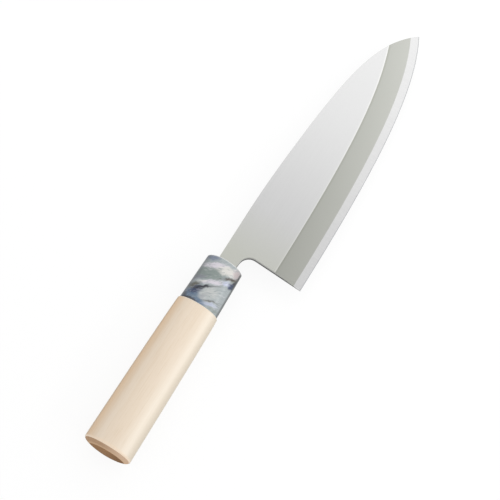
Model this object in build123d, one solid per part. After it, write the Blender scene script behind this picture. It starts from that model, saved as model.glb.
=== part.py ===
from build123d import *
import math
import os

# A right-handed deba: a thick fish knife, ground on one face only, in a wooden handle with a resin ferrule.
# It is laid out on the axis of its handle, in millimetres: X runs to the tip from the crown of the ferrule,
# Y towards the spine and Z out of the ground front face. At the end it is laid down on its flat back.

# Blade, seen on its front
blade_length = 165.2
heel_reach = 8.2
heel_drop = 43.65
tip_drop = 22.75
spine_rise = 5.2
spine_straight = 24.0
neck_drop = 5.9
throat_drop = 6.8
throat_radius = 6.5
chin_lean = 1.75

# Curves of the blade, as shares of its length from heel to tip and of the height that each one climbs or falls
spine_run_shares = (0.50, 0.72, 0.85, 0.93)
spine_fall_shares = (0.094, 0.232, 0.413, 0.636)
tip_slope_share = 1.4
edge_run_shares = (0, 0.52, 0.83, 1)
edge_rise_shares = (0, 0.035, 0.262, 1)
ridge_run_shares = (0, 0.56, 0.77, 0.954)
ridge_rise_shares = (0, 0.036, 0.265, 0.845)

# Blade, across its thickness
neck_thickness = 4.5
tip_thickness = 1.9
edge_steel_shares = (0.287, 0.355)
bevel_width = 17.3
bevel_land = 0.12
honed_angle = 25.0

# Hollow ground into the back, inside a flat rim
hollow_depth = 0.5
hollow_edge_rim = 2.2
hollow_spine_rim = 3.0
hollow_chin_bow = 3.0
hollow_end_shares = (0.01, 0.95)
hollow_run_shares = (0.035, 0.50, 0.82, 0.945)
hollow_fall_shares = (0, 0, 0.095, 0.67)
hollow_depth_shares = (-0.1, 1, 0.45, -0.1)

# Tang, the rear end of both layers
tang_length = 96.0
tang_end_width = 5.0
tang_end_thickness = 3.0
tang_end_lift = 0.5
tang_gap = 0.6

# Ferrule, an oval cup with its closed end to the blade
ferrule_length = 31.8
ferrule_front_width = 22.2
ferrule_front_thickness = 16.6
ferrule_rear_width = 24.4
ferrule_rear_thickness = 18.3
ferrule_crown_radius = 30.0
ferrule_rim_radius = 1.0
ferrule_stations = 6
ferrule_front_wall = 5.0
resin_recess = 1.4

# Handle, with a tenon that fills the ferrule
wood_length = 99.9
wood_step = 0.7
wood_lip_chamfer = 0.5
butt_width = 30.0
butt_thickness = 22.4
butt_crown_radius = 90.0
butt_chamfer = 0.6
swell_stations = 8
station_power = 1.6
swell_power = 0.68
tenon_width = 18.6
tenon_thickness = 12.8
glue_gap = 0.1

# How far a cutting shape runs past what it cuts
overrun = 2.0
past_share = 0.15

tip_reach = heel_reach + blade_length
joint_x = -ferrule_length
butt_x = joint_x - wood_length
back_z = -neck_thickness / 2


def front_height(x):
    """Height of the front face over the back: the blade thins evenly from neck to tip."""
    return neck_thickness + (tip_thickness - neck_thickness) * x / tip_reach


def along(row, start, end):
    """The cubic with this row of four control points, taken from one share of its run to another."""
    def blossom(*shares):
        points = row
        for share in shares:
            points = [first + (second - first) * share for first, second in zip(points, points[1:])]
        return points[0]

    return [blossom(start, start, start), blossom(start, start, end), blossom(start, end, end), blossom(end, end, end)]


def spine_point(run, fall):
    """A point of the spine, at shares of the blade's length and of the fall from spine to tip."""
    return Vector(heel_reach + run * blade_length, spine_rise - fall * (spine_rise + tip_drop))


def edge_row(height):
    """Control points of the cutting edge, at a height over the back."""
    rise = heel_drop - tip_drop
    return [
        Vector(heel_reach + run * blade_length, lift * rise - heel_drop, height)
        for run, lift in zip(edge_run_shares, edge_rise_shares)
    ]


def ridge_row():
    """Control points of the ridge where the bevel meets the front face."""
    rise = heel_drop - tip_drop
    row = []
    for run, lift in zip(ridge_run_shares, ridge_rise_shares):
        x = heel_reach + run * blade_length
        row.append(Vector(x, bevel_width + lift * rise - heel_drop, front_height(x)))
    return row


def ground_off(low_row, high_row):
    """What a straight grinding face takes off: all that lies over the lines from one row to the other."""
    rows = []
    for share in (-past_share, 1 + past_share):
        row = [low + (high - low) * share for low, high in zip(low_row, high_row)]
        rows.append(along(row, -past_share / 3, 1 + past_share / 3))
    return extrude(Face.make_bezier_surface(rows), amount=neck_thickness + overrun, dir=(0, 0, 1))


def hollow():
    """What the wheel takes out of the back: a long shallow dish that runs out to nothing all round."""
    edge_side = [point + Vector(0, hollow_edge_rim) for point in along(edge_row(0), *hollow_end_shares)]
    spine_side = [
        spine_point(run, fall) - Vector(0, hollow_spine_rim)
        for run, fall in zip(hollow_run_shares, hollow_fall_shares)
    ]
    # The middle of this patch reaches 3/4 of its control points along the blade and 1/2 across it
    full = hollow_depth * 8 / 3
    rim = Vector(0, 0, hollow_depth * hollow_depth_shares[0])
    middle = [
        (low + high) / 2 + Vector(0, 0, full * share)
        for low, high, share in zip(edge_side, spine_side, hollow_depth_shares)
    ]
    middle[0] -= Vector(hollow_chin_bow, 0)
    dish = Face.make_bezier_surface([
        [point + rim for point in edge_side],
        middle,
        [point + rim for point in spine_side],
    ])
    return extrude(dish, amount=overrun, dir=(0, 0, -1))


def blade_plan():
    """Outline of blade, neck and tang seen on the front, left wide along the edge for grinding."""
    allowance = Vector(0, -overrun / 2)
    heel = Vector(heel_reach, -heel_drop)
    throat = Vector(heel_reach + chin_lean, -throat_drop)
    bend = Vector(heel_reach + spine_straight, spine_rise)
    tip = spine_point(1, 1)
    tang_centre = (spine_rise - neck_drop) / 2
    tang_top = Vector(-tang_length, tang_centre + tang_end_width / 2)
    tang_bottom = Vector(-tang_length, tang_centre - tang_end_width / 2)
    spine_points = [spine_point(run, fall) for run, fall in zip(spine_run_shares, spine_fall_shares)]
    outline = make_face([
        Polyline(tang_top, (0, spine_rise), bend),
        Spline(bend, *spine_points, tip, tangents=[(1, 0), (1, -tip_slope_share)]),
        Line(tip, tip + allowance),
        Bezier(*[point + allowance for point in edge_row(0)]),
        Polyline(heel + allowance, heel, throat, (0, -neck_drop), tang_bottom, tang_top),
    ])
    return fillet(outline.vertices().sort_by_distance(throat)[0], throat_radius)


def side_view(gap, front_end):
    """Side view from behind the tang's end to a plane ahead of it, with a gap over and under the steel."""
    rear = -tang_length - gap - overrun
    end_low = tang_end_lift - gap
    end_high = tang_end_lift + tang_end_thickness + gap
    outline = Polyline(
        (rear, end_low),
        (-tang_length, end_low),
        (0, -gap),
        (front_end, -gap),
        (front_end, front_height(front_end) + gap),
        (0, neck_thickness + gap),
        (-tang_length, end_high),
        (rear, end_high),
        close=True,
    )
    return Pos(0, 0, back_z) * (Plane.XZ * make_face(outline))


def whole_blade():
    """Both layers in one: the outline, thinned to the tip, ground on the front and hollowed on the back."""
    slab = Pos(0, 0, back_z - overrun) * extrude(blade_plan(), amount=neck_thickness + 2 * overrun)
    blank = slab & extrude(side_view(0, tip_reach + overrun), amount=heel_drop + overrun, both=True)
    honed_height = bevel_width * math.tan(math.radians(honed_angle))
    honed_row = [Vector(point.X, point.Y, honed_height) for point in ridge_row()]
    for cut in (ground_off(edge_row(bevel_land), ridge_row()), ground_off(edge_row(0), honed_row), hollow()):
        blank -= Pos(0, 0, back_z) * cut
    return blank


def bond_plane():
    """Plane in which the two layers are welded: the hard one is a larger share of the thickness at the tip."""
    neck_share, tip_share = edge_steel_shares
    start = Vector(0, 0, back_z + neck_share * front_height(0))
    end = Vector(tip_reach, 0, back_z + tip_share * front_height(tip_reach))
    return Plane(origin=start, x_dir=end - start, z_dir=(end - start).cross(Vector(0, 1, 0)))


def tang_pocket():
    """The tapered slot round the tang, through the ferrule's front wall and down the wood."""
    top = spine_rise + tang_gap
    bottom = -neck_drop - tang_gap
    centre = (spine_rise - neck_drop) / 2
    half_end = tang_end_width / 2 + tang_gap
    rear = -tang_length - tang_gap
    plan = Polyline(
        (overrun, top),
        (0, top),
        (-tang_length, centre + half_end),
        (rear, centre + half_end),
        (rear, centre - half_end),
        (-tang_length, centre - half_end),
        (0, bottom),
        (overrun, bottom),
        close=True,
    )
    slab = Pos(0, 0, back_z - overrun) * extrude(make_face(plan), amount=neck_thickness + 2 * overrun)
    return slab & extrude(side_view(tang_gap, overrun), amount=ferrule_rear_width, both=True)


def oval(x, width, thickness):
    """One section across the handle or the ferrule."""
    return Plane.YZ.offset(x) * Ellipse(width / 2, thickness / 2)


def crown_waste(pole_x, radius, width, inward):
    """What a crowned end loses: all that lies outside a turned dome with its pole on the axis."""
    reach = width / 2 + overrun
    depth = radius - math.sqrt(radius ** 2 - reach ** 2)
    clear_x = pole_x - inward * overrun
    rim = (pole_x + inward * depth, reach)
    profile = make_face([
        RadiusArc((pole_x, 0), rim, inward * radius),
        Polyline(rim, (clear_x, reach), (clear_x, 0), (pole_x, 0)),
    ])
    return revolve(profile, Axis.X)


def rims(body):
    """The closed edges round a body, from its rear end to its front."""
    return body.edges().filter_by(lambda edge: edge.is_closed).sort_by(Axis.X)


def ferrule(pocket):
    """The moulded cup: crowned front with a soft rim, a socket from behind and the slot for the tang."""
    sections = []
    for station in range(ferrule_stations + 1):
        run = station / ferrule_stations
        width = ferrule_rear_width + run * (ferrule_front_width - ferrule_rear_width)
        thickness = ferrule_rear_thickness + run * (ferrule_front_thickness - ferrule_rear_thickness)
        sections.append(oval(joint_x + run * ferrule_length, width, thickness))
    body = loft(sections, ruled=True)
    body -= crown_waste(0, ferrule_crown_radius, ferrule_front_width, -1)
    body = fillet(rims(body)[-1], ferrule_rim_radius)
    socket = extrude(oval(joint_x, tenon_width, tenon_thickness), amount=ferrule_length - ferrule_front_wall)
    return body - socket - pocket


def handle(pocket):
    """The turned and sanded wood: a swelling oval, crowned at the butt, with its tenon and the burnt bore."""
    joint_width = ferrule_rear_width + 2 * wood_step
    joint_thickness = ferrule_rear_thickness + 2 * wood_step
    sections = []
    # Short steps at the joint, where the swell is quick, and long ones at the butt
    for station in range(swell_stations + 1):
        run = (station / swell_stations) ** station_power
        swell = run ** swell_power
        width = joint_width + swell * (butt_width - joint_width)
        thickness = joint_thickness + swell * (butt_thickness - joint_thickness)
        sections.append(oval(joint_x - run * wood_length, width, thickness))
    body = loft(sections, ruled=True)
    body -= crown_waste(butt_x, butt_crown_radius, butt_width, 1)
    body = chamfer(rims(body)[0], butt_chamfer)
    body = chamfer(rims(body)[-1], wood_lip_chamfer)
    slimmed = oval(joint_x, tenon_width - 2 * glue_gap, tenon_thickness - 2 * glue_gap)
    tenon = extrude(slimmed, amount=ferrule_length - ferrule_front_wall - glue_gap)
    return body + tenon - pocket


blade = whole_blade()
pocket = tang_pocket()
tang_resin = split(pocket - blade, bisect_by=Plane.YZ.offset(-resin_recess), keep=Keep.BOTTOM)

pieces = {
    "blade_cladding": split(blade, bisect_by=bond_plane(), keep=Keep.TOP),
    "edge_steel": split(blade, bisect_by=bond_plane(), keep=Keep.BOTTOM),
    "ferrule": ferrule(pocket),
    "handle": handle(pocket),
    "tang_resin": tang_resin,
}

# Laid down: the middle of its length and width over the origin, its lowest line at zero
laid_down = Pos(-(tip_reach + butt_x) / 2, (heel_drop - butt_width / 2) / 2, butt_thickness / 2)

os.makedirs("parts", exist_ok=True)
for name, piece in pieces.items():
    export_step(laid_down * piece, f"parts/{name}.step")
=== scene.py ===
"""A deba kitchen knife, laid on its flat back on a pale studio table, with its ground front face up."""

import math

import bmesh
import bpy
from mathutils import Matrix, Vector

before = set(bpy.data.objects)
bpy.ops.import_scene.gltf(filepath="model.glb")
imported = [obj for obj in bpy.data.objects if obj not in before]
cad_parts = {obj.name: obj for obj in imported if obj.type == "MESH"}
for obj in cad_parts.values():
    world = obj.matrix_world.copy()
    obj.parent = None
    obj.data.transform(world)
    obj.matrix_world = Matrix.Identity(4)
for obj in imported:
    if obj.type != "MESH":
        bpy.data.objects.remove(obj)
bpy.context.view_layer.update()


# Camera
# It looks almost straight down on the knife from far off, tipped a little towards the butt, and turned so that the
# blade points to the upper right. The long lens keeps the handle and the tip at one scale.
look_at = Vector((-0.00858, 0.00681, 0.01465))
image_right = Vector((0.5181, -0.8530, 0.0622))
image_up = Vector((0.8100, 0.5127, 0.2847))
to_camera = image_right.cross(image_up).normalized()
camera_distance = 12.0
view_width = 0.28283
sensor_width = 36.0

camera_data = bpy.data.cameras.new("camera")
camera_data.sensor_width = sensor_width
camera_data.lens = sensor_width * camera_distance / view_width
camera = bpy.data.objects.new("camera", camera_data)
camera.matrix_world = Matrix.Translation(look_at + to_camera * camera_distance) @ Matrix(
    (image_right, image_up, to_camera)
).transposed().to_4x4()
bpy.context.scene.collection.objects.link(camera)
bpy.context.scene.camera = camera
bpy.context.scene.view_settings.view_transform = "Standard"


# Table and light
# A white table in a white room. A long soft box stands low on the edge's side, as the bright band along the handle
# shows, and another hangs past the tip, so that the steel grows brighter towards it.
room_light = 0.80
table_reach = 3.0
table_glow, glow_share = 1.1, 0.8
# Each lamp's name, place, what it points at, width, height and watts
lamps = (
    ("long soft box low on the edge's side", (0.0, -1.0, 0.62), (0.0, 0.0, 0.01), 1.4, 0.22, 3.2),
    ("soft box past the tip", (0.40, -0.06, 0.30), (0.40, -0.06, 0.0), 0.5, 0.6, 0.88),
)
# A Mix node of colours lays one over the other. Its sockets share their names, so these are their numbers.
under, over = 6, 7


def linear(code):
    """An sRGB hex colour as the linear values that shaders take."""
    values = [int(code[i : i + 2], 16) / 255 for i in (1, 3, 5)]
    return [v / 12.92 if v <= 0.04045 else ((v + 0.055) / 1.055) ** 2.4 for v in values] + [1.0]


def feed(node, feeds):
    """Gives sockets of a node a value each, or a link from another node, whose first output in use it takes."""
    for name, value in feeds.items():
        if isinstance(value, bpy.types.Node):
            value = next(socket for socket in value.outputs if socket.enabled)
        if isinstance(value, bpy.types.NodeSocket):
            node.id_data.links.new(value, node.inputs[name])
        else:
            node.inputs[name].default_value = value


def add(tree, kind, feeds=None, **settings):
    """Adds one node with its settings and feeds its sockets."""
    node = tree.nodes.new(kind)
    for name, value in settings.items():
        setattr(node, name, value)
    feed(node, feeds or {})
    return node


def for_camera(tree):
    """One for the rays that bring a surface to the camera, straight, mirrored or through glass, and zero for others."""
    path = add(tree, "ShaderNodeLightPath")
    straight, mirrored = path.outputs["Is Camera Ray"], path.outputs["Is Glossy Ray"]
    either = add(tree, "ShaderNodeMath", {0: straight, 1: mirrored}, operation="MAXIMUM")
    return add(tree, "ShaderNodeMath", {0: either, 1: path.outputs["Is Transmission Ray"]}, operation="MAXIMUM")


room = bpy.data.worlds.new("white room")
room.use_nodes = True
tree = room.node_tree
tree.nodes.clear()
soft = add(tree, "ShaderNodeBackground", {"Color": linear("#FFFFFF"), "Strength": room_light})
white = add(tree, "ShaderNodeBackground", {"Color": linear("#FFFFFF"), "Strength": 1.0})
surround = add(tree, "ShaderNodeMixShader", {"Fac": for_camera(tree), 1: soft, 2: white})
add(tree, "ShaderNodeOutputWorld", {"Surface": surround})
bpy.context.scene.world = room

for name, place, aim, width, height, watts in lamps:
    lamp = bpy.data.lights.new(name, "AREA")
    lamp.shape = "RECTANGLE"
    lamp.size = width
    lamp.size_y = height
    lamp.energy = watts
    box = bpy.data.objects.new(name, lamp)
    turn = (Vector(place) - Vector(aim)).to_track_quat("Z", "Y")
    box.matrix_world = Matrix.Translation(place) @ turn.to_matrix().to_4x4()
    bpy.context.scene.collection.objects.link(box)

top = bmesh.new()
bmesh.ops.create_grid(top, x_segments=1, y_segments=1, size=table_reach)
table_mesh = bpy.data.meshes.new("table")
top.to_mesh(table_mesh)
top.free()
table = bpy.data.objects.new("table", table_mesh)
bpy.context.scene.collection.objects.link(table)
# White lacquer: it glows for the camera and for what mirrors it, and keeps a faint shadow
lacquer = bpy.data.materials.new("white lacquered table")
lacquer.use_nodes = True
tree = lacquer.node_tree
tree.nodes.clear()
glowing = add(tree, "ShaderNodeMath", {0: for_camera(tree), 1: glow_share}, operation="MULTIPLY")
matt = add(tree, "ShaderNodeBsdfDiffuse", {"Color": linear("#D0D0D0")})
glow = add(tree, "ShaderNodeEmission", {"Color": linear("#FFFFFF"), "Strength": table_glow})
surface = add(tree, "ShaderNodeMixShader", {"Fac": glowing, 1: matt, 2: glow})
add(tree, "ShaderNodeOutputMaterial", {"Surface": surface})
table_mesh.materials.append(lacquer)


# Blade, soft cladding
# Soft stainless iron, welded over the front of the hard steel. The flat and the neck have a fine satin along the
# blade, and the wide bevel is stone-ground across it. The sides of neck, chin and spine are left as they were cut.
mm = 0.001
# Satin lines are 0.1 mm wide and stone scratches 0.05 mm, and both are drawn as coarse as they need to show
satin_width, satin_length = 0.7 * mm, 62 * mm
scratch_width, scratch_length, scratch_turn = 0.7 * mm, 22 * mm, math.radians(-6)
cloud_width = 22 * mm
# The ridge between flat and bevel is a cubic curve from heel to tip, given by its control points
ridge = [Vector(point) * mm for point in ((-12.65, -12.03), (79.86, -11.27), (114.55, -6.49), (144.95, 5.64))]
ridge_steps = 12
heel, tip = ridge[0], ridge[-1]


def lean(degrees):
    """What a face's normal has along an axis that it leans away from by so many degrees."""
    return math.cos(math.radians(degrees))


cladding_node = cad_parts["blade_cladding"]
# Satin steel mirrors the room as a soft even grey, and the stone-ground bevel is duller and darker beside it
cladding = bpy.data.materials.new("satin and stone-ground stainless cladding")
cladding.use_nodes = True
tree = cladding.node_tree
place = add(tree, "ShaderNodeTexCoord")
facing = add(tree, "ShaderNodeSeparateXYZ", {"Vector": place.outputs["Normal"]})
spot = add(tree, "ShaderNodeSeparateXYZ", {"Vector": place.outputs["Object"]})
# The flat leans less than one degree, the bevel 7 to 14, and the cut sides 90
on_bevel = add(
    tree,
    "ShaderNodeMapRange",
    {"Value": facing.outputs["Z"], "From Min": lean(3.6), "From Max": lean(5.1)},
    interpolation_type="SMOOTHSTEP",
)
on_side = add(tree, "ShaderNodeMapRange", {"Value": facing.outputs["Z"], "From Min": lean(37), "From Max": lean(60)})
long_way = add(
    tree,
    "ShaderNodeMapping",
    {"Vector": place.outputs["Object"], "Scale": (1 / satin_length, 1 / satin_width, 1 / satin_width)},
)
satin = add(tree, "ShaderNodeTexNoise", {"Vector": long_way, "Scale": 1.0, "Detail": 3.0, "Roughness": 0.6})
cross_way = add(
    tree,
    "ShaderNodeMapping",
    {
        "Vector": place.outputs["Object"],
        "Rotation": (0, 0, scratch_turn),
        "Scale": (1 / scratch_width, 1 / scratch_length, 1 / scratch_length),
    },
)
scratch = add(tree, "ShaderNodeTexNoise", {"Vector": cross_way, "Scale": 1.0, "Detail": 3.0, "Roughness": 0.65})
lines = add(tree, "ShaderNodeMix", {"Factor": on_bevel, "A": satin, "B": scratch})

# The flat's grey is warmer at the neck and evens out past the middle
satin_tone = add(
    tree, "ShaderNodeMix", {"Factor": satin, under: linear("#B9B9B9"), over: linear("#C0C0C0")}, data_type="RGBA"
)
far = add(tree, "ShaderNodeMapRange", {"Value": spot.outputs["X"], "From Min": 40 * mm, "From Max": 110 * mm})
far_tone = add(tree, "ShaderNodeMix", {"Factor": far, under: satin_tone, over: linear("#B9B9B9")}, data_type="RGBA")
near = add(tree, "ShaderNodeMapRange", {"Value": spot.outputs["X"], "From Min": 18 * mm, "From Max": -14 * mm})
flat_tone = add(tree, "ShaderNodeMix", {"Factor": near, under: far_tone, over: linear("#B8B9B2")}, data_type="RGBA")

# The stone left the bevel in soft clouds, and it is painted a little brighter towards the tip as painted light
along = add(tree, "ShaderNodeMapRange", {"Value": spot.outputs["X"], "From Min": heel.x, "From Max": tip.x})
cloud = add(
    tree,
    "ShaderNodeTexNoise",
    {"Vector": place.outputs["Object"], "Scale": 1 / cloud_width, "Detail": 3.0, "Roughness": 0.5},
)
clouds_plus_tip_gradient = add(tree, "ShaderNodeMath", {0: cloud, 1: 0.5, 2: along}, operation="MULTIPLY_ADD")
clouds_and_painted_tip_light = add(tree, "ShaderNodeMapRange", {"Value": clouds_plus_tip_gradient, "From Min": 0.2, "From Max": 1.3})
bevel_tone = add(
    tree, "ShaderNodeMix", {"Factor": clouds_and_painted_tip_light, under: linear("#979892"), over: linear("#9D9E99")}, data_type="RGBA"
)

# A bright line along the ridge on the flat is a painted highlight, and a dull one below it is painted shade. Further
# below the ridge the bevel is drawn a little lighter.
ridge_curve = add(tree, "ShaderNodeFloatCurve", {"Value": along})
for step in range(1, ridge_steps):
    t = step / ridge_steps
    weights = ((1 - t) ** 3, 3 * t * (1 - t) ** 2, 3 * t**2 * (1 - t), t**3)
    at = sum((weight * point for weight, point in zip(weights, ridge)), Vector((0, 0)))
    ridge_curve.mapping.curves[0].points.new((at.x - heel.x) / (tip.x - heel.x), (at.y - heel.y) / (tip.y - heel.y))
ridge_curve.mapping.update()
ridge_y = add(tree, "ShaderNodeMapRange", {"Value": ridge_curve, "To Min": heel.y, "To Max": tip.y})
above = add(tree, "ShaderNodeMath", {0: spot.outputs["Y"], 1: ridge_y}, operation="SUBTRACT")
painted_ridge_highlight = add(
    tree,
    "ShaderNodeMapRange",
    {"Value": above, "From Min": 0.3 * mm, "From Max": 1.1 * mm, "To Min": 0.35, "To Max": 0.0},
    interpolation_type="SMOOTHSTEP",
)
painted_ridge_shade = add(
    tree,
    "ShaderNodeMapRange",
    {"Value": above, "From Min": -1.6 * mm, "From Max": -0.3 * mm, "To Max": 0.45},
    interpolation_type="SMOOTHSTEP",
)
low_share = add(
    tree, "ShaderNodeMapRange", {"Value": above, "From Min": -2 * mm, "From Max": -12 * mm, "To Max": 0.12}
)
for share, colour in ((low_share, "#C0C0BC"), (painted_ridge_shade, "#86877F")):
    bevel_tone = add(
        tree, "ShaderNodeMix", {"Factor": share, under: bevel_tone, over: linear(colour)}, data_type="RGBA"
    )
flat_tone = add(
    tree, "ShaderNodeMix", {"Factor": painted_ridge_highlight, under: flat_tone, over: linear("#D2D2CE")}, data_type="RGBA"
)
tone = add(tree, "ShaderNodeMix", {"Factor": on_bevel, under: flat_tone, over: bevel_tone}, data_type="RGBA")

# Cut sides are a little duller than the flat, and under the upper arris those of neck, chin and heel are painted nearly
# black as painted shade
to_hand = add(tree, "ShaderNodeMapRange", {"Value": facing.outputs["Y"], "From Min": lean(66), "From Max": lean(84)})
below = add(tree, "ShaderNodeMapRange", {"Value": spot.outputs["Z"], "From Min": 11.6 * mm, "From Max": 11.0 * mm})
in_shade = add(tree, "ShaderNodeMath", {0: below, 1: to_hand}, operation="MULTIPLY")
painted_shade_side = add(tree, "ShaderNodeMath", {0: in_shade, 1: on_side}, operation="MULTIPLY")
for share, colour in ((on_side, "#A4A4A0"), (painted_shade_side, "#3C3C39")):
    tone = add(tree, "ShaderNodeMix", {"Factor": share, under: tone, over: linear(colour)}, data_type="RGBA")
rough = add(tree, "ShaderNodeMapRange", {"Value": on_bevel, "To Min": 0.34, "To Max": 0.40})
relief = add(tree, "ShaderNodeBump", {"Height": lines, "Strength": 0.12, "Distance": 0.04 * mm})
feed(
    tree.nodes["Principled BSDF"], {"Metallic": 1.0, "Base Color": tone, "Roughness": rough, "Normal": relief}
)
cladding_node.data.materials.clear()
cladding_node.data.materials.append(cladding)


# Blade, hard edge steel
# High-carbon stainless, the back layer of the blade. It shows as the bright strip honed along the edge, and as the
# whole back, where the wheel that hollowed it left fine marks across.
edge_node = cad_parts["edge_steel"]
# Wheel marks are 0.05 mm wide, and drawn as coarse as they need to show
wheel_width, wheel_length = 0.6 * mm, 17 * mm
# Hard steel takes a finer grind than iron, so it mirrors more of the white room
hard_steel = bpy.data.materials.new("honed stainless edge steel")
hard_steel.use_nodes = True
tree = hard_steel.node_tree
place = add(tree, "ShaderNodeTexCoord")
facing = add(tree, "ShaderNodeSeparateXYZ", {"Vector": place.outputs["Normal"]})
# The last honing leans 25 degrees, twice as much as the strip, and its darker grey is a painted reflection of the dim
# foot of the room
past_strip = add(
    tree, "ShaderNodeMapRange", {"Value": facing.outputs["Z"], "From Min": lean(18), "From Max": lean(23)}
)
on_back = add(tree, "ShaderNodeMapRange", {"Value": facing.outputs["Z"], "From Min": lean(90), "From Max": lean(120)})
honed_painted_reflection = add(tree, "ShaderNodeMath", {0: past_strip, 1: on_back}, operation="SUBTRACT")
cross_way = add(
    tree,
    "ShaderNodeMapping",
    {
        "Vector": place.outputs["Object"],
        "Rotation": (0, 0, scratch_turn),
        "Scale": (1 / wheel_width, 1 / wheel_length, 1 / wheel_length),
    },
)
scratch = add(tree, "ShaderNodeTexNoise", {"Vector": cross_way, "Scale": 1.0, "Detail": 3.0, "Roughness": 0.6})
tone = add(
    tree, "ShaderNodeMix", {"Factor": scratch, under: linear("#B7B7B7"), over: linear("#C1C1C1")}, data_type="RGBA"
)
# Its sides under the neck, chin and heel get painted shade, as dark as that on the iron above them
to_hand = add(tree, "ShaderNodeMapRange", {"Value": facing.outputs["Y"], "From Min": lean(66), "From Max": lean(84)})
level = add(tree, "ShaderNodeMath", {0: facing.outputs["Z"]}, operation="ABSOLUTE")
on_side = add(tree, "ShaderNodeMapRange", {"Value": level, "From Min": lean(37), "From Max": lean(60)})
painted_shade_side = add(tree, "ShaderNodeMath", {0: on_side, 1: to_hand}, operation="MULTIPLY")
for share, colour in ((honed_painted_reflection, "#9A9A9C"), (painted_shade_side, "#3C3C39")):
    tone = add(tree, "ShaderNodeMix", {"Factor": share, under: tone, over: linear(colour)}, data_type="RGBA")
relief = add(tree, "ShaderNodeBump", {"Height": scratch, "Strength": 0.1, "Distance": 0.04 * mm})
feed(tree.nodes["Principled BSDF"], {"Metallic": 1.0, "Base Color": tone, "Roughness": 0.42, "Normal": relief})
edge_node.data.materials.clear()
edge_node.data.materials.append(hard_steel)


# Ferrule
# An oval collar, cast in resin with pearl pigments that were poured in, stirred once and left to set. It was then
# turned, polished and glued over the wood's tenon.
ferrule_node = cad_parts["ferrule"]
collar_length = 31.8 * mm
xs, ys, zs = zip(*(vertex.co for vertex in ferrule_node.data.vertices))
collar_rear = min(xs)
crown = Vector((collar_rear + collar_length, (min(ys) + max(ys)) / 2, (min(zs) + max(zs)) / 2))
# From here on lengths are in millimetres. The resin was stirred in broad swirls and small curls, each with a width
# and a pull, and fine threads follow them.
pour_depth, pour_slant = 9.0, 6.0
swirl_width, swirl_pull = 5.0, 3.0
curl_width, curl_pull = 2.0, 0.9
thread_size, thread_heading = (4.0, 0.7, 3.0), 118
sage, slate, slate_blue, mauve, navy, ink = "#848F8B", "#7A8496", "#5F748B", "#7B7C88", "#283959", "#1D1F29"
lilac, cream, ice, rose, umber = "#D4CFD7", "#D9D7D1", "#BCC3D8", "#BCADAE", "#514B45"
olive, moss = "#545347", "#80856A"
# Each streak of pigment: its middle in x and y, heading in degrees, half length, half width, softness and strength
streaks = (
    (slate_blue, -28.6, 8.2, 112, 7.5, 5.6, 0.6, 1.0),
    (slate_blue, -30.4, 1.4, 92, 7.5, 2.8, 0.7, 1.0),
    (sage, -12.6, 4.2, 112, 11.5, 5.4, 0.4, 1.0),
    (mauve, -17.4, 8.6, 120, 6.0, 2.6, 0.9, 0.8),
    (slate, -3.0, 7.6, 105, 6.5, 3.4, 0.7, 1.0),
    (lilac, -7.0, 3.8, 111, 10.5, 2.6, 0.7, 1.0),
    (cream, -6.6, -4.0, 108, 8.0, 3.8, 0.7, 1.0),
    (rose, -4.8, -9.4, 90, 4.5, 3.8, 0.8, 0.8),
    (lilac, -17.0, 0.2, 119, 10.5, 1.9, 0.8, 1.0),
    (olive, -22.9, 8.8, 122, 6.0, 2.4, 0.8, 1.0),
    (cream, -19.2, 5.4, 118, 4.0, 0.9, 0.9, 0.7),
    (navy, -24.8, 6.0, 140, 5.4, 3.0, 0.6, 1.0),
    (cream, -22.8, -1.6, 112, 8.5, 5.6, 0.9, 0.4),
    (mauve, -26.2, 0.6, 140, 3.8, 2.0, 1.0, 0.35),
    (ink, -22.0, 3.4, 122, 8.6, 1.3, 0.7, 1.0),
    (umber, -17.6, -3.4, 121, 3.6, 0.6, 1.0, 0.6),
    (ice, -28.7, -5.2, 108, 6.5, 1.5, 0.9, 0.75),
    (sage, -30.4, -8.4, 92, 4.5, 1.8, 0.8, 0.8),
    (umber, -27.0, -4.8, 106, 8.0, 0.8, 1.0, 0.8),
    (ice, -13.1, -7.3, 118, 3.4, 2.2, 0.8, 1.0),
    (ink, -9.0, -10.5, 172, 6.5, 1.9, 0.6, 1.0),
    (moss, -8.6, -9.2, 160, 2.6, 0.9, 0.8, 0.8),
    (navy, -12.7, -9.6, 160, 3.0, 1.9, 0.7, 1.0),
    (umber, -9.4, -7.2, 130, 6.5, 1.4, 0.7, 1.0),
    (umber, -13.0, -2.6, 125, 2.4, 0.6, 0.9, 0.7),
    (ink, -31.3, 8.0, 92, 8.0, 1.2, 0.7, 1.0),
    (ink, -30.8, 11.6, 80, 4.5, 3.4, 0.8, 1.0),
)
# A streak runs right through the collar
streak_depth = 1000

# Polished polyester: slate, sage and lilac bands lie aslant under a soft gloss, with dark threads where they meet
pearl = bpy.data.materials.new("marbled pearl polyester")
pearl.use_nodes = True
tree = pearl.node_tree
place = add(tree, "ShaderNodeTexCoord")
facing = add(tree, "ShaderNodeSeparateXYZ", {"Vector": place.outputs["Normal"]})
# Places are measured from where the axis leaves the crown. Under the axis the pour slants to the edge and the butt.
local = add(
    tree,
    "ShaderNodeMapping",
    {"Vector": place.outputs["Object"], "Location": -crown / mm, "Scale": (1 / mm, 1 / mm, 1 / mm)},
)
depth = add(tree, "ShaderNodeSeparateXYZ", {"Vector": local})
slant = add(
    tree, "ShaderNodeMapRange", {"Value": depth.outputs["Z"], "From Max": -pour_depth, "To Max": pour_slant}
)
aside = add(tree, "ShaderNodeCombineXYZ", {"X": slant, "Y": slant})
stirred = add(tree, "ShaderNodeVectorMath", {0: local, 1: aside}, operation="ADD")
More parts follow.
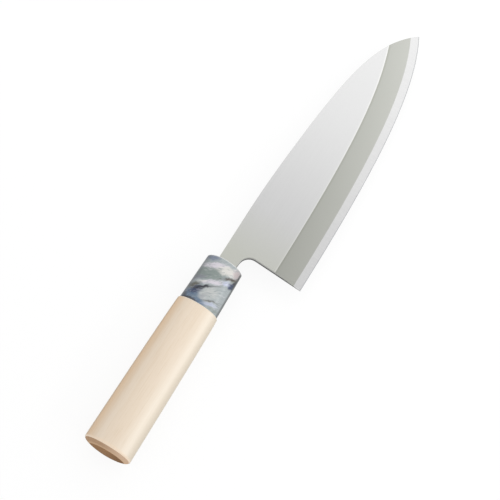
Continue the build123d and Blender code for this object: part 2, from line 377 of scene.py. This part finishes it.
# The stirring dragged the pigments aside
swirl, curl = (
    add(tree, "ShaderNodeTexNoise", {"Vector": local, "Scale": 1 / width, "Detail": 2.0, "Roughness": 0.5})
    for width in (swirl_width, curl_width)
)
for noise, pull in ((swirl, swirl_pull), (curl, curl_pull)):
    drag = add(tree, "ShaderNodeVectorMath", {0: noise.outputs["Color"], 1: (-0.5, -0.5, -0.5)}, operation="ADD")
    stirred = add(tree, "ShaderNodeVectorMath", {0: drag, 1: (pull, pull, 0), 2: stirred}, operation="MULTIPLY_ADD")
marble = add(
    tree, "ShaderNodeMix", {"Factor": swirl, under: linear("#9BA6A7"), over: linear("#B1B6B8")}, data_type="RGBA"
)
# Threads feather the edges of the streaks, and some show on their own, pale or dark
thread_way = add(
    tree,
    "ShaderNodeMapping",
    {"Vector": stirred, "Rotation": (0, 0, math.radians(thread_heading)), "Scale": thread_size},
    vector_type="TEXTURE",
)
threads = add(tree, "ShaderNodeTexNoise", {"Vector": thread_way, "Scale": 1.0, "Detail": 4.0, "Roughness": 0.65})
feather = add(
    tree,
    "ShaderNodeMapRange",
    {"Value": threads, "From Min": 0.35, "From Max": 0.65, "To Min": 0.45, "To Max": 1.55},
)
for pigment, x, y, heading, half_length, half_width, softness, strength in streaks:
    streak = add(
        tree,
        "ShaderNodeMapping",
        {
            "Vector": stirred,
            "Location": (x, y, 0),
            "Rotation": (0, 0, math.radians(heading)),
            "Scale": (half_length, half_width, streak_depth),
        },
        vector_type="TEXTURE",
    )
    spread = add(tree, "ShaderNodeTexGradient", {"Vector": streak}, gradient_type="SPHERICAL")
    feathered = add(tree, "ShaderNodeMath", {0: spread.outputs["Fac"], 1: feather}, operation="MULTIPLY")
    cover = add(
        tree,
        "ShaderNodeMapRange",
        {"Value": feathered, "From Max": softness, "To Max": strength},
        interpolation_type="SMOOTHSTEP",
    )
    marble = add(tree, "ShaderNodeMix", {"Factor": cover, under: marble, over: linear(pigment)}, data_type="RGBA")
pale_thread = add(
    tree, "ShaderNodeMapRange", {"Value": threads, "From Min": 0.54, "From Max": 0.72, "To Max": 0.4}
)
dark_thread = add(
    tree, "ShaderNodeMapRange", {"Value": threads, "From Min": 0.46, "From Max": 0.28, "To Max": 0.45}
)
# The narrow sides are painted deep slate as painted shade along the outlines
painted_shade_spine_side = add(
    tree,
    "ShaderNodeMapRange",
    {"Value": facing.outputs["Y"], "From Min": lean(53), "From Max": lean(11.5), "To Max": 0.85},
)
painted_shade_edge_side = add(
    tree,
    "ShaderNodeMapRange",
    {"Value": facing.outputs["Y"], "From Min": lean(148), "From Max": lean(164), "To Max": 0.9},
)
# A pale painted highlight runs round the rim of the crown
painted_highlight_rim = add(
    tree,
    "ShaderNodeMapRange",
    {"Value": facing.outputs["X"], "From Min": lean(78.5), "From Max": lean(60), "To Max": 0.7},
    interpolation_type="SMOOTHSTEP",
)
for share, colour in (
    (pale_thread, "#DCDAE0"),
    (dark_thread, "#5F6771"),
    (painted_shade_spine_side, "#242D37"),
    (painted_shade_edge_side, "#222A2A"),
    (painted_highlight_rim, "#E2E1DE"),
):
    marble = add(tree, "ShaderNodeMix", {"Factor": share, under: marble, over: linear(colour)}, data_type="RGBA")
feed(tree.nodes["Principled BSDF"], {"Base Color": marble, "Roughness": 0.28, "IOR": 1.55})
ferrule_node.data.materials.clear()
ferrule_node.data.materials.append(pearl)


# Setting resin
# Dark epoxy that was poured round the tang. Only its top shows, sunk a little below the slot in the ferrule.
speck_width = 2.5 * mm
resin_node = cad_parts["tang_resin"]
# It set with a dull skin, a little uneven in tone from the wood dust in it
epoxy = bpy.data.materials.new("dark setting epoxy")
epoxy.use_nodes = True
tree = epoxy.node_tree
place = add(tree, "ShaderNodeTexCoord")
uneven = add(
    tree, "ShaderNodeTexNoise", {"Vector": place.outputs["Object"], "Scale": 1 / speck_width, "Detail": 3.0}
)
tone = add(
    tree, "ShaderNodeMix", {"Factor": uneven, under: linear("#3A3733"), over: linear("#57534C")}, data_type="RGBA"
)
feed(tree.nodes["Principled BSDF"], {"Base Color": tone, "Roughness": 0.35})
resin_node.data.materials.clear()
resin_node.data.materials.append(epoxy)


# Handle
# Magnolia, turned oval, sanded and left bare. It was cut with the heart of the log towards the back, so the butt's
# end grain is pale above one ring and brown below it, and the butt's edge was broken with sandpaper.
handle_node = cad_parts["handle"]
butt = min(vertex.co.x for vertex in handle_node.data.vertices)
# Pores are 0.1 mm wide, and drawn as coarse as they need to show. Like the growth bands, they are in millimetres.
pore_length, pore_width = 16.7, 0.417
band_size, band_turn = (111, 3.85, 16.7), math.radians(35)
heart = (0, -0.5, -8.6)
ring_radius, ring_wander, wander_width = 12.0, 1.4, 2.86

# Bare magnolia is pale and even, with faint straight grain, and sanding leaves it a slight sheen
wood = bpy.data.materials.new("bare sanded magnolia")
wood.use_nodes = True
tree = wood.node_tree
place = add(tree, "ShaderNodeTexCoord")
facing = add(tree, "ShaderNodeSeparateXYZ", {"Vector": place.outputs["Normal"]})
spot = add(tree, "ShaderNodeSeparateXYZ", {"Vector": place.outputs["Object"]})
# The grain is measured from the handle's axis, as the ferrule's streaks are
local = add(
    tree,
    "ShaderNodeMapping",
    {"Vector": place.outputs["Object"], "Location": -crown / mm, "Scale": (1 / mm, 1 / mm, 1 / mm)},
)
from_axis = add(tree, "ShaderNodeSeparateXYZ", {"Vector": local})
pore_way = add(
    tree, "ShaderNodeMapping", {"Vector": local, "Scale": (1 / pore_length, 1 / pore_width, 1 / pore_width)}
)
pores = add(tree, "ShaderNodeTexNoise", {"Vector": pore_way, "Scale": 1.0, "Detail": 3.0, "Roughness": 0.6})
band_way = add(
    tree,
    "ShaderNodeMapping",
    {"Vector": local, "Rotation": (band_turn, 0, 0), "Scale": [1 / size for size in band_size]},
)
bands = add(tree, "ShaderNodeTexNoise", {"Vector": band_way, "Scale": 1.0, "Detail": 2.0, "Roughness": 0.5})
side_tone = add(
    tree, "ShaderNodeMix", {"Factor": bands, under: linear("#E6D3BC"), over: linear("#F0E2D0")}, data_type="RGBA"
)
in_pore = add(tree, "ShaderNodeMapRange", {"Value": pores, "From Min": 0.52, "From Max": 0.75, "To Max": 0.5})
# The wood is painted warmer down the spine's side as painted shade and palest along the other as a painted highlight,
# and both narrow sides are darkened as painted shade
painted_shade_warm = add(
    tree,
    "ShaderNodeMapRange",
    {"Value": facing.outputs["Y"], "From Min": lean(69.5), "From Max": lean(18), "To Max": 0.68},
    interpolation_type="SMOOTHSTEP",
)
painted_highlight_pale = add(
    tree,
    "ShaderNodeMapRange",
    {"Value": facing.outputs["Y"], "From Min": lean(96), "From Max": lean(134.5), "To Max": 0.6},
    interpolation_type="SMOOTHSTEP",
)
painted_shade_low = add(
    tree,
    "ShaderNodeMapRange",
    {"Value": facing.outputs["Y"], "From Min": lean(131), "From Max": lean(180), "To Max": 0.6},
)
painted_shade_high = add(
    tree,
    "ShaderNodeMapRange",
    {"Value": facing.outputs["Y"], "From Min": lean(33), "From Max": lean(14), "To Max": 0.6},
)
# The last of the side before the butt is painted pale as a painted highlight
painted_highlight_butt_band = add(
    tree,
    "ShaderNodeMapRange",
    {"Value": spot.outputs["X"], "From Min": butt + 3.1 * mm, "From Max": butt + 1.3 * mm, "To Max": 0.6},
    interpolation_type="SMOOTHSTEP",
)
for share, colour in (
    (in_pore, "#D9C3A6"),
    (painted_shade_warm, "#DFB788"),
    (painted_highlight_pale, "#F7EEDF"),
    (painted_shade_low, "#BFB197"),
    (painted_shade_high, "#A0865F"),
    (painted_highlight_butt_band, "#F5DDC2"),
):
    side_tone = add(tree, "ShaderNodeMix", {"Factor": share, under: side_tone, over: linear(colour)}, data_type="RGBA")

# The broken arris gets a pale painted highlight where it faces up, and painted shade underneath
painted_shade_underneath = add(
    tree, "ShaderNodeMapRange", {"Value": facing.outputs["Z"], "From Min": lean(84), "From Max": lean(101.5)}
)
lit_and_shaded_arris_tone = add(
    tree, "ShaderNodeMix", {"Factor": painted_shade_underneath, under: linear("#FBE6CE"), over: linear("#7D6247")}, data_type="RGBA"
)
painted_light_on_arris = add(
    tree,
    "ShaderNodeMapRange",
    {"Value": facing.outputs["X"], "From Min": lean(101.5), "From Max": lean(127), "To Max": 0.9},
    interpolation_type="SMOOTHSTEP",
)
# A nearly white painted highlight runs along the lip round the ferrule
painted_highlight_lip = add(
    tree,
    "ShaderNodeMapRange",
    {"Value": spot.outputs["X"], "From Min": collar_rear - 0.6 * mm, "From Max": collar_rear + 0.5 * mm, "To Max": 0.8},
    interpolation_type="SMOOTHSTEP",
)
for share, colour in ((painted_light_on_arris, lit_and_shaded_arris_tone), (painted_highlight_lip, linear("#FFFAEC"))):
    side_tone = add(tree, "ShaderNodeMix", {"Factor": share, under: side_tone, over: colour}, data_type="RGBA")

# The butt's rings curve round a heart behind the axis, and the brown wood ends at one of them, under a golden line
from_heart = add(tree, "ShaderNodeVectorMath", {0: local, 1: heart}, operation="SUBTRACT")
across = add(tree, "ShaderNodeVectorMath", {0: from_heart, 1: (0, 1, 1)}, operation="MULTIPLY")
radius = add(tree, "ShaderNodeVectorMath", {0: across}, operation="LENGTH")
wander = add(
    tree, "ShaderNodeTexNoise", {"Vector": local, "Scale": 1 / wander_width, "Detail": 3.0, "Roughness": 0.6}
)
ring = add(tree, "ShaderNodeMath", {0: wander, 1: ring_wander, 2: radius}, operation="MULTIPLY_ADD")
in_brown = add(
    tree,
    "ShaderNodeMapRange",
    {"Value": ring, "From Min": ring_radius + 1.0, "From Max": ring_radius},
    interpolation_type="SMOOTHSTEP",
)
gold_line = add(
    tree,
    "ShaderNodeMapRange",
    {"Value": ring, "From Min": ring_radius + 3.7, "From Max": ring_radius + 1.5, "To Max": 0.6},
    interpolation_type="SMOOTHSTEP",
)
# The end grain is painted lighter towards the edge's side, as painted light from the soft box there
painted_light_to_edge = add(tree, "ShaderNodeMapRange", {"Value": from_axis.outputs["Y"], "From Min": 4.0, "From Max": -9.0})
end_tone = add(
    tree, "ShaderNodeMix", {"Factor": painted_light_to_edge, under: linear("#C3A080"), over: linear("#E7C6A8")}, data_type="RGBA"
)
brown_low = add(
    tree, "ShaderNodeMapRange", {"Value": from_axis.outputs["Y"], "From Min": 0.0, "From Max": -8.0, "To Max": 0.7}
)
brown = add(
    tree, "ShaderNodeMix", {"Factor": pores, under: linear("#9A7350"), over: linear("#B08862")}, data_type="RGBA"
)
brown = add(tree, "ShaderNodeMix", {"Factor": brown_low, under: brown, over: linear("#84603F")}, data_type="RGBA")
for share, colour in ((gold_line, linear("#E6C39E")), (in_brown, brown)):
    end_tone = add(tree, "ShaderNodeMix", {"Factor": share, under: end_tone, over: colour}, data_type="RGBA")
on_end = add(
    tree,
    "ShaderNodeMapRange",
    {"Value": facing.outputs["X"], "From Min": lean(138.5), "From Max": lean(154)},
    interpolation_type="SMOOTHSTEP",
)
tone = add(tree, "ShaderNodeMix", {"Factor": on_end, under: side_tone, over: end_tone}, data_type="RGBA")
rough = add(tree, "ShaderNodeMapRange", {"Value": on_end, "To Min": 0.34, "To Max": 1.0})
relief = add(tree, "ShaderNodeBump", {"Height": pores, "Strength": 0.15, "Distance": 0.1 * mm})
feed(tree.nodes["Principled BSDF"], {"Base Color": tone, "Roughness": rough, "IOR": 1.45, "Normal": relief})
handle_node.data.materials.clear()
handle_node.data.materials.append(wood)
